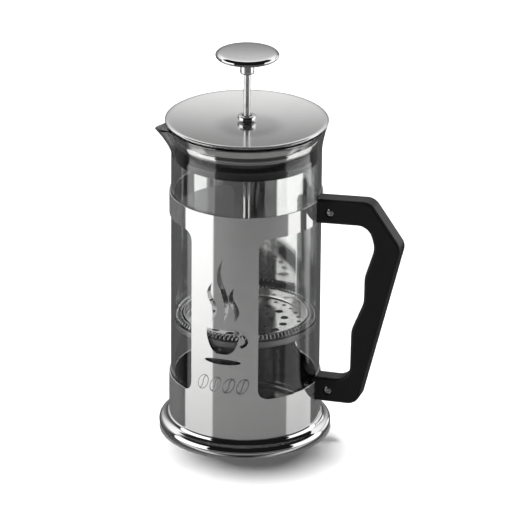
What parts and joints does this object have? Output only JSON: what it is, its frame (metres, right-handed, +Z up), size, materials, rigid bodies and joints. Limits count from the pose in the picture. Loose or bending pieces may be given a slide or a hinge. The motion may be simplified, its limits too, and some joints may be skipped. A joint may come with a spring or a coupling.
{
  "type": "french press",
  "caption": "Cylindrical coffee press: glass beaker in a pierced steel sleeve with a flared foot, D handle, dished lid and a rod with knob and mesh filter.",
  "frame": {"origin": "centre of the underside, on the beaker's axis, in the plane that the press stands on", "axes": "+Z up along the beaker's axis, +X towards the handle, -Y towards the pierced front panel"},
  "size_m": [0.1543, 0.1074, 0.249],
  "materials": {
    "polished_steel": "mirror-polished stainless sheet with fine vertical polishing marks",
    "chrome_trim": "bright chrome plate",
    "satin_steel": "satin stainless steel",
    "lid_steel": "polished stainless, faint circular buffing marks",
    "rod_steel": "ground and polished steel rod",
    "filter_steel": "stamped stainless sheet",
    "coil_steel": "bright spring wire",
    "mesh_steel": "fine plain-woven stainless mesh",
    "handle_plastic": "black moulded plastic, fine satin grain, slight sheen",
    "ring_plastic": "black moulded plastic, smooth and glossy",
    "cushion_rubber": "grey silicone rubber",
    "bush_nylon": "natural nylon",
    "beaker_glass": "clear borosilicate glass"
  },
  "bodies": {
    "frame": {"frame_sleeve": "polished_steel", "foot_ring": "chrome_trim", "base_plate": "satin_steel", "handle": "handle_plastic", "upper_lug": "satin_steel", "lower_lug": "satin_steel", "handle_screws": "chrome_trim", "handle_nuts": "chrome_trim"},
    "cushion": {"beaker_cushion": "cushion_rubber"},
    "beaker": {"glass_beaker": "beaker_glass"},
    "rod_guide": {"guide_collar": "chrome_trim", "guide_bush": "bush_nylon", "guide_nut": "satin_steel"},
    "lid": {"lid_plate": "lid_steel", "lid_skirt": "polished_steel", "splash_ring": "ring_plastic"},
    "plunger": {"plunger_rod": "rod_steel", "knob_cap": "chrome_trim", "knob_insert": "chrome_trim", "filter_washer": "satin_steel", "filter_dish": "filter_steel", "filter_coil": "coil_steel", "filter_mesh": "mesh_steel", "cross_plate": "filter_steel", "hub_nut": "satin_steel"}
  },
  "joints": [
    {"name": "beaker_turn", "type": "hinge", "parent": "frame", "child": "cushion", "pos_m": [0, 0, 0.003], "axis": [0, 0, 1], "continuous": true},
    {"name": "beaker_lift", "type": "slide", "parent": "cushion", "child": "beaker", "axis": [0, 0, 1], "range_m": [0, 0.16]},
    {"name": "lid_lift", "type": "slide", "parent": "beaker", "child": "rod_guide", "axis": [0, 0, 1], "range_m": [0, 0.15]},
    {"name": "lid_turn", "type": "hinge", "parent": "rod_guide", "child": "lid", "pos_m": [0, 0, 0.203], "axis": [0, 0, 1], "continuous": true},
    {"name": "plunger_slide", "type": "slide", "parent": "rod_guide", "child": "plunger", "axis": [0, 0, 1], "range_m": [-0.027, 0.1]}
  ]
}
